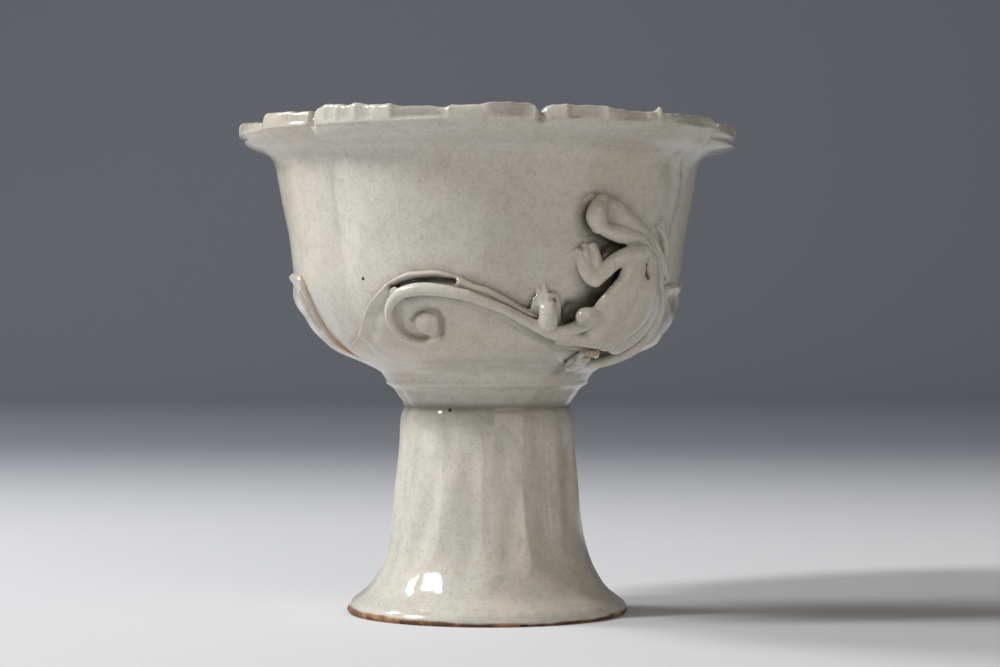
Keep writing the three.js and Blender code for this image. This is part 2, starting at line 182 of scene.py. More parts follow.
# Bowl
# Thin porcelain, pressed over a mould as a six-lobed flower and flared at the lip. The lip is a
# thick band cut into petals, scooped with a thumb all round and dipped in one glaze with the rest.
BOWL_LOW, BOWL_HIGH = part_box("bowl")
BASE = BOWL_LOW.z / MM
RIM = BOWL_HIGH.z / MM
LEDGE = 20.2
SHOULDER = 38.0
SHOULDER_UP = 18.0
THROAT = 42.2
THROAT_Z = RIM - 9.6
BAND = 49.5
BAND_UP = 3.1
BOWL_COLUMNS = 648
FRONT_CROWDING = 0.35
GROOVE = 1.5
# Azimuths of the grooves between the wall's lobes, once round, and how proud each lapping edge is
GROOVES = np.array([-46, 10.8, 68.5, 131, 191, 252.5, 314])
LAPS = np.array([0.25, 0.05, 1.1, 0.6, 0.4, 0.5, 0.25])
# The lip's edge: azimuth and height above RIM. It drops where one of its petals meets the next.
LIP_EDGE = np.array([
    (-107, -0.9), (-105.5, -0.2), (-92, -0.05), (-90, 0), (-87, -0.3), (-70, -1), (-61.2, -1.7),
    (-60.6, -0.6), (-59.6, -0.15), (-57, 0), (-50, -0.2), (-44.5, -0.3), (-42.9, -1.6), (-41.9, -0.4),
    (-40.6, 0.3), (-38.4, 0.65), (-34, 0.5), (-32.2, 0.35), (-30, 0.55), (-26, 0.2), (-21, 0.15),
    (-20.2, -0.15), (-14, -0.3), (-8.2, -0.55), (-7.4, -0.3), (-3.6, -0.25), (0, 0.1), (5.5, 0.5),
    (9.5, 0.2), (11.2, -0.3), (12.3, -1.3), (13.5, -0.4), (15, 0), (20, 0.1), (27, -0.1), (33, -0.75),
    (38, -0.7), (41.5, -0.85), (50, -0.75), (58.5, -0.6), (61, -0.8), (63.2, -1.4), (64.5, -2.8),
    (65.3, -2.2), (68.5, -1.6), (72, -0.8), (80, -0.6), (92, -0.7), (104, -0.4), (118, -0.7), (126, -0.5),
    (127, -1.2), (129, -0.4), (140, 0), (150, -0.4), (162, 0.1), (175, -0.2), (187, -0.5), (188, -1.3),
    (190, -0.4), (202, 0.1), (216, -0.5), (230, 0), (245, -0.3),
])
LIP_SEAMS = np.array([-42.9, 12.3, 64.5, 127, 188, 252.5])
# How far the whole lip hangs lower, reaches less far out and is thicker below: azimuth and the three
LIP_SET = np.array([
    (-107, 0, 0, 0), (-105, 0.2, 0.2, 0), (-90, 0.3, -0.1, 0), (-66, 0.25, 0.3, 0), (-62, 0, 0.45, 0),
    (-60, 0, 0.05, 0), (-44, 0, 0.3, 0), (-42.2, 0, -0.2, 0.5), (-20, 0, -0.1, 0), (11, 0, -0.1, 0.3),
    (14, 0, 0, 0), (48, 0, -0.1, 0.1), (63, 0, -0.1, 0.8), (64.9, 0.3, 0.4, 0), (75, 0.6, -0.1, 0),
    (84, 0.65, -0.3, 0), (95, 0.7, -0.2, 0), (120, 0.2, 0.1, 0.3), (126, 0, 0, 0.6), (128, 0, 0.2, 0),
    (186, 0, 0, 0.6), (189, 0, 0.2, 0), (250, 0, 0.1, 0.5), (253, 0, 0, 0),
])
# Thumb scoops in the band: first and last azimuth, depth, and lean, over 1 for a deeper last end
SCOOPS = np.array([
    (-88, -64, 0.4, 0.8), (-53, -44, 0.4, 1.3), (-38, -35, 0.25, 1), (-34, -30, 0.3, 1),
    (-29, -25, 0.3, 1), (-20.4, -8, 0.85, 0.6), (0.2, 10.8, 0.9, 1.6), (18.1, 27, 0.6, 0.8),
    (29, 38, 0.5, 1.2), (44.6, 62.5, 0.6, 1.2), (69, 84, 0.6, 1), (92, 104, 0.6, 0.8),
    (108, 122, 0.7, 1.3), (131, 143, 0.7, 0.8), (147, 156, 0.6, 1.2), (161, 171, 0.5, 1),
    (174, 185, 0.8, 1.4), (193, 206, 0.7, 0.8), (209, 217, 0.6, 1), (221, 233, 0.8, 1.3),
    (237, 249, 0.6, 0.9), (258, 268, 0.6, 1.1), (272, 281, 0.5, 0.9),
])
# The rolled edge below the band at the cup's two ends: azimuth and how far it stands out
LIP_BEAD = np.array([(-110, 0.5), (-84, 0.5), (-68, 0), (63, 0), (70, 0.9), (77, 1.9), (100, 1.9),
                     (120, 0.8), (180, 0.5), (235, 0.5)])
# The small nib on the lip's edge: its azimuth and half width in degrees, and how far it stands out and up
NIB = 41
NIB_HALF = 1
NIB_OUT = 0.5
NIB_UP = 1.3
# A seam's half width in degrees and its depth, and how deep the crease above the rolled edge is
SEAM_HALF = 1.5
SEAM_DEPTH = 0.9
CREASE_DEPTH = 0.5
# The clay's unevenness: nine waves, each with its turns round the cup, its slant and its start
WAVES = np.random.default_rng(11)
RIPPLE_TURNS = WAVES.integers(2, 24, 9)
RIPPLE_PITCH = WAVES.uniform(-0.4, 0.4, 9)
RIPPLE_START = WAVES.uniform(0, 2 * np.pi, 9)
RIPPLE = 0.045


def step(low, high, x):
    """0 up to low, 1 from high on, a smooth cubic between; it falls where low is over high."""
    t = np.clip((x - low) / (high - low), 0, 1)
    return t * t * (3 - 2 * t)


def hump(x, middle, width):
    """A bell of height 1 at the middle, down to 0.37 at width from it."""
    return np.exp(-((x - middle) / width) ** 2)


def mix(a, b, share):
    """Between a and b by a share."""
    return a + (b - a) * share


def smooth_line(stops, count, close_ends=False):
    """A Catmull-Rom line through the stops: count points evenly spread over its spans.

    Where its ends meet other pieces a point close to each end keeps the shading there even."""
    stops = np.array(stops, float)
    ends = np.vstack([2 * stops[0] - stops[1], stops, 2 * stops[-1] - stops[-2]])
    place = np.linspace(0, len(stops) - 1, count)
    low = np.minimum(place.astype(int), len(stops) - 2)
    t = (place - low)[:, None]
    a, b, c, d = (ends[low + k] for k in range(4))
    line = 0.5 * (2 * b + (c - a) * t + (2 * a - 5 * b + 4 * c - d) * t ** 2
                  + (3 * b - a - 3 * c + d) * t ** 3)
    if close_ends:
        after_first = mix(line[0], line[1], 0.06)
        before_last = mix(line[-2], line[-1], 0.94)
        line = np.vstack([line[0], after_first, line[1:-1], before_last, line[-1]])
    return line


WALL_LINE = smooth_line([
    (LEDGE + 0.1, BASE),
    (LEDGE + 0.7, BASE + 0.9),
    (LEDGE + 2, BASE + 2),
    (mix(LEDGE, SHOULDER, 0.5), BASE + SHOULDER_UP * 0.31),
    (mix(LEDGE, SHOULDER, 0.77), BASE + SHOULDER_UP * 0.58),
    (SHOULDER, BASE + SHOULDER_UP),
    (mix(SHOULDER, THROAT, 0.45), BASE + SHOULDER_UP * 1.65),
    (THROAT, THROAT_Z),
], 46, close_ends=True)


def ripple(azimuth, height):
    """The slow unevenness of hand-pressed clay: a sum of waves, a whole number of each round the cup."""
    a = np.radians(azimuth)[..., None] * RIPPLE_TURNS
    return RIPPLE * np.sin(a + height[..., None] * RIPPLE_PITCH + RIPPLE_START).sum(axis=-1)


def lobed(azimuth, radius, height):
    """The flower's radius: each groove draws the wall in, beside the proud edge of the lobe that laps it.

    Near the throat the grooves drift over to the seams of the lip."""
    azimuth, radius, height = np.broadcast_arrays(azimuth, radius, height)
    drift = np.interp(azimuth, LIP_SEAMS, LIP_SEAMS - GROOVES[:-1], period=360)
    azimuth = azimuth - drift * step(THROAT_Z - 3, THROAT_Z + 2, height)
    lobe = np.interp((azimuth - GROOVES[0]) % 360, GROOVES - GROOVES[0], np.arange(len(GROOVES)))
    beside = lobe - np.round(lobe)
    across = np.sqrt(np.sin(np.pi * lobe) ** 2 + 0.012)
    valley = GROOVE * step(BASE + 1, BASE + SHOULDER_UP, height) * np.maximum(0, 1.05 - across) ** 1.8
    outside = step(-2.2, -0.6, radius - np.interp(height, WALL_LINE[:, 1], WALL_LINE[:, 0]))
    proud = LAPS[np.round(lobe).astype(int) % len(LAPS)]
    edge = step(-0.16, -0.03, beside) * step(-0.006, -0.026, beside)
    lap = proud * outside * step(BASE + 22, BASE + 45, height) * edge
    uneven = ripple(azimuth, height) * step(BASE + 4, BASE + 12, height)
    return radius + (lap + uneven - valley) * step(LEDGE - 10, LEDGE - 1, radius)


def wall_radius(azimuth, height):
    """The outer wall's radius under an applied piece."""
    return lobed(azimuth, np.interp(height, WALL_LINE[:, 1], WALL_LINE[:, 0]), height)


def cylinder_points(azimuth, radius, height):
    """Points from azimuth (degrees, 0 at the front, growing to the right), radius and height in mm."""
    a = np.radians(azimuth)
    return np.stack(np.broadcast_arrays(radius * np.sin(a), -radius * np.cos(a), height), axis=-1)


def turned(name, azimuth, radius, height, marks):
    """A body from rows of radius and height at each azimuth, closed round the cup and at both its ends."""
    points = cylinder_points(azimuth, radius, height)
    faces = grid_faces(*radius.shape, close_columns=True)
    return mesh_object(name, points.reshape(-1, 3), faces, marks)


def scoop_depth(azimuth):
    """How deep the thumb scoops are at each azimuth: half an ellipse from end to end, leaning one way."""
    first, last, depth, lean = SCOOPS.T[:, :, None]
    share = np.clip((azimuth.ravel() - first) % 360 / (last - first), 0, 1) ** lean
    return (depth * np.sqrt(1 - (2 * share - 1) ** 2)).max(axis=0).reshape(azimuth.shape)


def lip_shaped(azimuth, radius, height):
    """The lip's hand shaping: its edge up and down, its band set in, scooped, notched, and beaded below.

    Each change is its amount round the cup times steps and humps that keep it to its part of the lip."""
    def around(table, column):
        """A table's column at each azimuth, interpolated round the cup."""
        return np.interp(azimuth, table[:, 0], table[:, column], period=360)

    on_lip = step(RIM - 7.4, RIM - 4, height) * step(THROAT - 1.5, THROAT + 1.5, radius)
    band = step(RIM - BAND_UP - 0.5, RIM - BAND_UP + 0.2, height) * step(BAND - 4, BAND - 2.2, radius)
    top = step(RIM - 2.4, RIM - 0.4, height) * step(BAND - 6.5, BAND - 2.5, radius)
    scoop = scoop_depth(azimuth) * band * step(RIM - 2.9, RIM - 2, height)
    seam = sum(np.maximum(0, 1 - np.abs((azimuth - at + 180) % 360 - 180) / SEAM_HALF) for at in LIP_SEAMS)
    edge = (around(LIP_EDGE, 1) + 0.07 * np.sin(np.radians(azimuth * 47))
            + 0.06 * np.sin(np.radians(azimuth * 83)))
    nib = np.maximum(0, 1 - np.abs(azimuth - NIB) / NIB_HALF)
    bead = around(LIP_BEAD, 1)
    under = hump(height, RIM - 5.1, 0.95) * step(THROAT + 1, THROAT + 3, radius)
    crease = hump(height, RIM - 3.95, 0.32) * step(THROAT + 3, THROAT + 5, radius) * step(0, 0.5, bead)
    out = on_lip * -around(LIP_SET, 2) - scoop - SEAM_DEPTH * seam * band + NIB_OUT * nib * band
    out += bead * under - CREASE_DEPTH * crease
    up = (top * edge - on_lip * around(LIP_SET, 1)
          + NIB_UP * nib ** 1.5 * top * step(BAND - 1.6, BAND - 0.7, radius))
    up -= around(LIP_SET, 3) * hump(height, RIM - 4.9, 1.3) * step(THROAT, THROAT + 2, radius)
    # Darker in the scoops, the seams and the crease: pooled glaze there, and painted shade in those recesses
    pooled = np.clip(0.55 * scoop + 0.6 * seam * band + 0.15 * crease, 0, 1)
    return radius + out, height + up, pooled


bowl_profile = np.vstack([
    [(0, BASE)],
    WALL_LINE,
    smooth_line([
        (THROAT, THROAT_Z),
        (THROAT + 0.5, RIM - 8.4),
        (THROAT + 1.1, RIM - 7.6),
        (THROAT + 2.2, RIM - 6.7),
        (THROAT + 4.1, RIM - 5.7),
        (THROAT + 6, RIM - 4.4),
        (BAND - 0.3, RIM - BAND_UP - 0.2),
    ], 44)[1:],
    smooth_line([
        (BAND - 0.3, RIM - BAND_UP - 0.2),
        (BAND + 0.05, RIM - BAND_UP + 0.2),
        (BAND + 0.15, RIM - 1.9),
        (BAND + 0.05, RIM - 0.7),
        (BAND - 0.3, RIM - 0.15),
        (BAND - 0.95, RIM),
        (BAND - 2, RIM - 0.1),
        (BAND - 3.4, RIM - 1),
    ], 30)[1:],
    smooth_line([
        (BAND - 3.4, RIM - 1),
        (THROAT + 1.2, RIM - 4.1),
        (THROAT - 1.1, RIM - 6.9),
        (THROAT - 2.5, RIM - 9.3),
    ], 12)[1:],
    smooth_line([
        (THROAT - 2.5, RIM - 9.3),
        (mix(SHOULDER, THROAT, 0.45) - 2.5, BASE + SHOULDER_UP * 1.65),
        (SHOULDER - 3.1, BASE + SHOULDER_UP + 0.4),
        (mix(LEDGE, SHOULDER, 0.62) - 2.5, BASE + SHOULDER_UP * 0.58),
        (LEDGE * 0.66, BASE + 5.8),
        (0, BASE + 5),
    ], 22)[1:],
])
turn = np.linspace(0, 2 * np.pi, BOWL_COLUMNS, endpoint=False)
bowl_azimuth = np.degrees(turn - FRONT_CROWDING * np.sin(turn))[None, :]
bowl_radius = lobed(bowl_azimuth, bowl_profile[:, :1], bowl_profile[:, 1:])
bowl_radius, bowl_height, bowl_pool_and_shade = lip_shaped(
    bowl_azimuth + 0 * bowl_radius, bowl_radius, bowl_profile[:, 1:])
bowl = turned("glazed_bowl", bowl_azimuth, bowl_radius, bowl_height, {"pool_and_shade": bowl_pool_and_shade})


def finish_piece(piece, material, slot, *nodes):
    """The piece's material, the body it rides on, and the CAD nodes that it stands for."""
    piece.data.materials.append(material)
    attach(piece, "root")
    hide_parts(*nodes)


GLOSS = 0.1
# How far grain pulls the specks' outlines about, and how wide a speck's soft edge is in cells
RAGGEDNESS = 0.4 * MM
SPECK_EDGE = 1 / 12
# Pinholes where gas burst through the glaze, two in the wall and one in the stem: azimuth, radius, height.
# Each is painted as a dark dot, painted shade for a pit that the mesh does not have.
PINHOLES = np.array([
    (-38, wall_radius(-38, 66.3), 66.3),
    (-26.6, wall_radius(-26.6, 60.1), 60.1),
    (-25.5, 16.7, 40.9),
])
PINHOLE = 0.3 * MM
PINHOLE_RIM = 0.46 * MM
# A Mix node's two colour inputs and its colour output, by their numbers
BELOW = 6
ABOVE = 7
MIXED = 2


def speckle(tree, place, per_metre, radius, share):
    """1 in specks on a share of a grid's cells, each up to a radius in cells: iron specks in the glaze.

    A speck is its cell's random radius less the distance from the cell's point, with a soft edge."""
    cells = add_node(tree, "ShaderNodeTexVoronoi", {"Vector": place, "Scale": per_metre})
    cell = add_node(tree, "ShaderNodeSeparateColor", {"Color": cells.outputs["Color"]})
    size = add_node(tree, "ShaderNodeMath", {0: cell.outputs["Green"], 1: radius}, operation="MULTIPLY")
    inside = add_node(tree, "ShaderNodeMath", {0: size.outputs[0], 1: cells.outputs["Distance"]},
                      operation="SUBTRACT")
    soft = add_node(tree, "ShaderNodeMapRange", {"Value": inside.outputs[0], "From Max": SPECK_EDGE})
    chosen = add_node(tree, "ShaderNodeMath", {0: cell.outputs["Red"], 1: share}, operation="LESS_THAN")
    speck = add_node(tree, "ShaderNodeMath", {0: soft.outputs[0], 1: chosen.outputs[0]}, operation="MULTIPLY")
    return speck.outputs[0]


def coated(tree, tone, coats):
    """A tone with coats of colour over it, each of them mixed in by a share.

    A coat has a source, the source's values where the share is 0 and where it is full, the full share,
    and a colour. Between the two values the share grows evenly."""
    for source, least, most, full, colour in coats:
        share = add_node(tree, "ShaderNodeMapRange", {
            "Value": source, "From Min": least, "From Max": most, "To Max": full})
        mixed = add_node(tree, "ShaderNodeMix", {
            "Factor": share.outputs[0], BELOW: tone, ABOVE: colour}, data_type="RGBA")
        tone = mixed.outputs[MIXED]
    return tone


def glazed_porcelain():
    """Porcelain under a thick grey-white feldspar glaze, fired in smoke: glossy and slightly uneven.

    It is clouded in patches of 15 mm and grained at 2 and 0.7 mm, with ragged iron specks of 0.2 to 0.4 mm.
    It shows darker and greener where it pooled, and the same colour is painted shade in the hollows; near
    black as painted shade in undercuts, slits and holes; paler where it ran thin, and iron brown on bare
    edges. Pinholes are dark dots of painted shade."""
    material, tree, shader = new_material("glazed_porcelain")
    place = add_node(tree, "ShaderNodeTexCoord").outputs["Object"]
    thin, pool_and_shade, deep, iron = (
        add_node(tree, "ShaderNodeAttribute", attribute_name=mark).outputs["Fac"]
        for mark in ("thin", "pool_and_shade", "deep", "iron"))
    cloud, warm, grain, fine = (
        add_node(tree, "ShaderNodeTexNoise", {
            "Vector": place, "Scale": scale, "Detail": detail, "Roughness": roughness})
        for scale, detail, roughness in ((65, 3, 0.55), (38, 2, 0.5), (430, 4, 0.7), (1500, 2, 0.6)))
    ragged = add_node(
        tree, "ShaderNodeVectorMath", {0: grain.outputs["Color"], 1: (RAGGEDNESS,) * 3, 2: place},
        operation="MULTIPLY_ADD").outputs[0]
    patches = add_node(tree, "ShaderNodeMapRange", {
        "Value": cloud.outputs["Fac"], "From Min": 0.2, "From Max": 0.5})
    rust = add_node(tree, "ShaderNodeMath", {0: iron, 1: patches.outputs[0]}, operation="MULTIPLY")
    coats = [
        (cloud.outputs["Fac"], 0, 1, 1, linear("#CBC7BE")),
        (warm.outputs["Fac"], 0.45, 0.7, 1, linear("#C1B9AB")),
        (grain.outputs["Fac"], 0.45, 0.72, 0.32, linear("#9A9382")),
        (fine.outputs["Fac"], 0.5, 0.8, 0.36, linear("#8B8371")),
        (thin, 0, 1, 0.5, linear("#D4CDBF")),
        # pool mark: glaze pooled in hollows, and painted shade there, darker and greener
        (pool_and_shade, 0, 1, 0.9, linear("#5E5C4E")),
        (speckle(tree, ragged, 1300, 0.36, 0.22), 0, 1, 0.22, linear("#746B5A")),
        (speckle(tree, ragged, 400, 0.13, 0.28), 0, 1, 0.4, linear("#64594A")),
        # deep mark: painted shade, near black, in undercuts, slits, holes and between toes
        (deep, 0, 1, 1, linear("#2E2B20")),
        (rust.outputs[0], 0, 1, 1, linear("#A66E45")),
    ]
    # Pinholes: dark dots of painted shade for pits that the mesh does not have
    for hole in cylinder_points(*PINHOLES.T):
        gap = add_node(tree, "ShaderNodeVectorMath", {0: place, 1: hole * MM}, operation="DISTANCE")
        coats.append((gap.outputs["Value"], PINHOLE_RIM, PINHOLE, 1, linear("#332C22")))
    tree.links.new(coated(tree, linear("#BDBDB4"), coats), shader.inputs["Base Color"])
    bump = add_node(tree, "ShaderNodeBump", {
        "Height": cloud.outputs["Fac"], "Strength": 0.25, "Distance": 0.6 * MM})
    tree.links.new(bump.outputs["Normal"], shader.inputs["Normal"])
    shader.inputs["Roughness"].default_value = GLOSS
    shader.inputs["IOR"].default_value = 1.5
    return material


glaze = glazed_porcelain()
finish_piece(bowl, glaze, "porcelain_glaze", "bowl")

# Collar
# The ring of clay and slip between bowl and stem: a soft ledge, a cove under it and a sunk joint at
# the neck, where the glaze is painted darker, for pooled glaze and for painted shade in the joint.
FOOT_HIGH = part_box("foot")[1]
NECK_Z = FOOT_HIGH.z / MM
NECK = 16.7
BORE = 13.3
COLLAR_UP = BASE - NECK_Z
COLLAR_COLUMNS = 300
# How uneven the stem and collar are, as a multiple of the bowl's unevenness
STEM_UNEVEN = 1.5

collar_profile = np.vstack([
    [(BORE, NECK_Z)],
    smooth_line([
        (NECK - 0.2, NECK_Z),
        (NECK - 0.1, NECK_Z + COLLAR_UP * 0.1),
        (NECK + 0.3, NECK_Z + COLLAR_UP * 0.24),
        (NECK + 1, NECK_Z + COLLAR_UP * 0.42),
        (NECK + 1.7, NECK_Z + COLLAR_UP * 0.62),
        (LEDGE - 1, NECK_Z + COLLAR_UP * 0.73),
        (LEDGE - 0.35, NECK_Z + COLLAR_UP * 0.8),
        (LEDGE - 0.05, NECK_Z + COLLAR_UP * 0.88),
        (LEDGE + 0.1, BASE),
    ], 50, close_ends=True),
    [(BORE, BASE), (BORE, NECK_Z)],
])
collar_azimuth = np.arange(COLLAR_COLUMNS)[None, :] * 360 / COLLAR_COLUMNS
collar_radius, collar_height = collar_profile[:, :1], collar_profile[:, 1:]
collar_uneven = STEM_UNEVEN * ripple(collar_azimuth, collar_height) * step(BORE, NECK - 0.5, collar_radius)
collar_uneven = collar_uneven * step(BASE, BASE - 1.5, collar_height)
collar_up = collar_height + 0.5 * collar_uneven * hump(collar_height, BASE - 0.8, 1)
# Darker at and under the neck joint: pooled glaze and painted shade
collar_pool_and_shade = 0.75 * hump(collar_height, NECK_Z, 0.9) + 0.3 * hump(collar_height, NECK_Z + 1.8, 1.7)
collar = turned("glazed_collar", collar_azimuth, collar_radius + collar_uneven, collar_up,
                {"pool_and_shade": collar_pool_and_shade + 0 * collar_azimuth})
finish_piece(collar, glaze, "porcelain_glaze", "collar")

# Foot
# A hollow thrown stem, its outside pared with a knife into flat facets that end in points on the
# flare. The ring is wiped clean of glaze so that it does not stick in the kiln, and fires brown.
FOOT_R = FOOT_HIGH.x / MM
FOOT_WALL = 3.4
FOOT_COLUMNS = 560
FACETS = 14
FACET = 360 / FACETS
FACET_AT = -3
FACET_DEPTH = 0.36
# The bare clay's roughness
MATT = 0.75
# Azimuth, and how high the bare clay shows above the ground
BARE_EDGE = np.array([
    (-95, 1.5), (-75, 1.7), (-45, 1.3), (-20, 0.95), (0, 0.7), (25, 0.55), (50, 0.8), (75, 1.2),
    (120, 1.5), (180, 1.1), (230, 1.4),
])

FOOT_LINE = smooth_line([
    (FOOT_R - 0.5, 0),
    (FOOT_R, 0.9),
    (FOOT_R - 0.7, 2.2),
    (FOOT_R - 2.2, 3.4),
    (FOOT_R - 3.8, 4.6),
    (FOOT_R - 5.4, 6.6),
    (FOOT_R - 7.4, 10.6),
    (FOOT_R - 8.6, 16.6),
    (FOOT_R - 9.9, 28.6),
    (NECK + 0.95, NECK_Z - 6),
    (NECK + 0.65, NECK_Z - 3),
    (NECK + 0.3, NECK_Z - 1.5),
    (NECK - 0.05, NECK_Z - 0.6),
    (NECK - 0.2, NECK_Z),
], 120, close_ends=True)


def faceted(azimuth, radius, height):
    """The stem's radius, pared by a parabola across each facet that narrows to a point on the flare."""
    number = np.floor((azimuth - FACET_AT) / FACET) % FACETS
    across = 2 * (((azimuth - FACET_AT) / FACET) % 1) - 1
    tip = 6 + 1.5 * np.sin(number * 2.3)
    open_share = np.clip((height - tip) / 9, 0, 1) ** 0.6
    depth = FACET_DEPTH * (1 + 0.3 * np.sin(number * 1.7)) * (1 - step(NECK_Z - 9, NECK_Z - 2, height))
    paring = depth * np.maximum(0, open_share ** 2 - across ** 2) ** 1.3
    outside = step(-1.6, -0.4, radius - np.interp(height, FOOT_LINE[:, 1], FOOT_LINE[:, 0]))
    strokes = 0.03 * np.sin(np.radians(azimuth * 90)) * open_share ** 2 * hump(azimuth, 41, 9)
    return radius - outside * (paring + strokes)


foot_profile = np.vstack([
    FOOT_LINE,
    smooth_line([
        (NECK - FOOT_WALL, NECK_Z),
        (NECK - FOOT_WALL + 0.4, NECK_Z * 0.55),
        (FOOT_R - 9.6, NECK_Z * 0.25),
        (FOOT_R - FOOT_WALL - 1.6, 1.6),
        (FOOT_R - FOOT_WALL - 1, 0),
    ], 40),
    [(FOOT_R - 0.5, 0)],
])
foot_azimuth = np.arange(FOOT_COLUMNS)[None, :] * 360 / FOOT_COLUMNS
foot_height = foot_profile[:, 1:]
foot_radius = faceted(foot_azimuth, foot_profile[:, :1], foot_height)
foot_radius = foot_radius + STEM_UNEVEN * ripple(foot_azimuth, foot_height) * step(0, 3, foot_height)
bare_edge = np.interp(foot_azimuth, BARE_EDGE[:, 0], BARE_EDGE[:, 1], period=360)
bare_edge = (bare_edge + 0.1 * np.sin(np.radians(foot_azimuth * 13))
             + 0.05 * np.sin(np.radians(foot_azimuth * 37)))
foot_bare = 1 - step(bare_edge - 0.25, bare_edge + 0.25, foot_height)
# Darker at the neck joint and below it: pooled glaze and painted shade
foot_pool_and_shade = 0.6 * hump(foot_height, NECK_Z, 0.8) + 0.25 * hump(foot_height, NECK_Z - 1.5, 3)
foot_pool_and_shade = foot_pool_and_shade * (foot_profile[:, :1] > NECK - 1) + 0 * foot_azimuth
foot = turned("glazed_foot", foot_azimuth, foot_radius, foot_height + 0 * foot_azimuth,
              {"bare": foot_bare, "pool_and_shade": foot_pool_and_shade})


def foot_glaze():
    """The same glaze as the bowl's, with a bare ring of iron-rich clay fired orange brown and matt.

    The bare clay has dark iron spots of 0.6 mm."""
    material = glaze.copy()
    material.name = "glazed_porcelain_bare_ring"
    tree = material.node_tree
    shader = tree.nodes["Principled BSDF"]
    glazed = shader.inputs["Base Color"].links[0].from_socket
    place = add_node(tree, "ShaderNodeTexCoord").outputs["Object"]
    patches = add_node(tree, "ShaderNodeTexNoise", {"Vector": place, "Scale": 240, "Detail": 3})
    clay = coated(tree, linear("#AE8159"), [
        (patches.outputs["Fac"], 0.36, 0.56, 1, linear("#654431")),
        (speckle(tree, place, 420, 0.5, 0.5), 0, 1, 1, linear("#2E2119")),
    ])
    bare = add_node(tree, "ShaderNodeAttribute", attribute_name="bare").outputs["Fac"]
    tree.links.new(coated(tree, glazed, [(bare, 0, 1, 1, clay)]), shader.inputs["Base Color"])
    dull = add_node(tree, "ShaderNodeMapRange", {"Value": bare, "To Min": GLOSS, "To Max": MATT})
    tree.links.new(dull.outputs[0], shader.inputs["Roughness"])
    return material


finish_piece(foot, foot_glaze(), "foot_glaze", "foot")

# Outer petals
# Three leaves cut from a thin sheet of clay and pressed round the bowl's base. Their free edges are
# pinched into a rounded rim that curls off the wall; the glaze runs thin there and shows iron brown.
PETAL_FOOT = 2.2
SHEET = 1.35
FURROW_DEPTH = 0.9
SLIT_DEPTH = 2.2
# Each free edge, as azimuth and rise above the bowl's base, then azimuth and how far the rim curls off,
# then how much thicker the rim's bead is and how far the edge waves up and down
PETALS = {
    "calyx_front": (
        [(-65.4, 3.2), (-63.8, 5.2), (-57, 6.9), (-50.3, 8.4), (-41.9, 11.9), (-35.5, 15.7), (-30.9, 17.9),
         (-26.5, 19.6), (-20.2, 21.2), (-12.6, 21.1), (-5.5, 19.5), (1.9, 17.5), (11.2, 14.5), (18, 12.3),
         (28, 9.8), (40, 7.4), (50, 5), (53.5, 3.3)],
        [(-65, 0.4), (-45, 0.5), (-30, 0.7), (-10, 0.8), (2, 0.6), (20, 0.8), (50, 0.4)],
        0.6,
        0.12,
    ),
    "calyx_right": (
        [(61.5, 3.3), (64, 6.5), (66.5, 10), (67.6, 13.5), (68.2, 17), (70.5, 18.7), (76, 18.9),
         (90, 19.4), (104, 21), (120, 21), (138, 20.2), (152, 16.8), (161, 10.5), (166, 3.3)],
        [(61, 0.2), (68, 0.3), (76, 0.1), (100, 0), (120, 0.8), (165, 0.9)],
        0.3,
        0.2,
    ),
    "calyx_left": (
        [(-195, 3.3), (-191, 8), (-182, 15.6), (-168, 20.2), (-150, 21.6), (-132, 21), (-115, 21.2),
         (-100, 20.6), (-88, 20.6), (-78, 20.9), (-71, 20.6), (-68.2, 19.4), (-67.2, 17.2), (-67, 15),
         (-67.6, 13), (-68.2, 11), (-68.4, 9.4), (-67.2, 6.4), (-64.6, 3.6)],
        [(-195, 0.9), (-150, 1.2), (-112, 0.2), (-90, -0.35), (-78, -0.15), (-65, 0)],
        0.5,
        0.25,
    ),
}
# A soft fold pressed into the front petal: from one azimuth and rise to another
FOLD = np.array([(-44.5, 9.4), (-43.8, 6.1), (-42, 3.4)])
# A groove beside the left petal's free edge, as azimuth and rise. It is painted brown and darker: iron in the
# glaze and painted shade.
FURROW = np.array([(-70.5, 16.6), (-70.8, 14.5), (-71.5, 12.5), (-72.5, 10.4)])
# A slit left open under the front petal's rim where the tail runs below it, and a pit at its end; both are
# painted near black as painted shade
SLIT = np.array([(-25.6, 18.3), (-24.3, 18.7), (-19.4, 19.4), (-14.3, 19.6), (-8.9, 19.3)])
PIT = np.array([(-27.3, 18.1), (-27, 17.8)])
# How much further the right petal stands off low down: rise and distance
BELLY = np.array([(0, 0), (3, 1.1), (7, 1.7), (11, 1.2), (15, 0.3), (19, 0)])
# Millimetres along the wall for each degree round the cup
ARC = 0.6


def gap_to(line, azimuth, rise):
    """Distance in mm, measured over the wall, from places to a line of azimuth and rise."""
    start, end = line[:-1], line[1:]
    scale = np.array([ARC, 1])
    along = (end - start) * scale
    offset = (np.stack([azimuth, rise], axis=-1)[..., None, :] - start) * scale
    share = np.clip((offset * along).sum(axis=-1) / (along ** 2).sum(axis=-1), 0, 1)
    return np.linalg.norm(offset - share[..., None] * along, axis=-1).min(axis=-1)


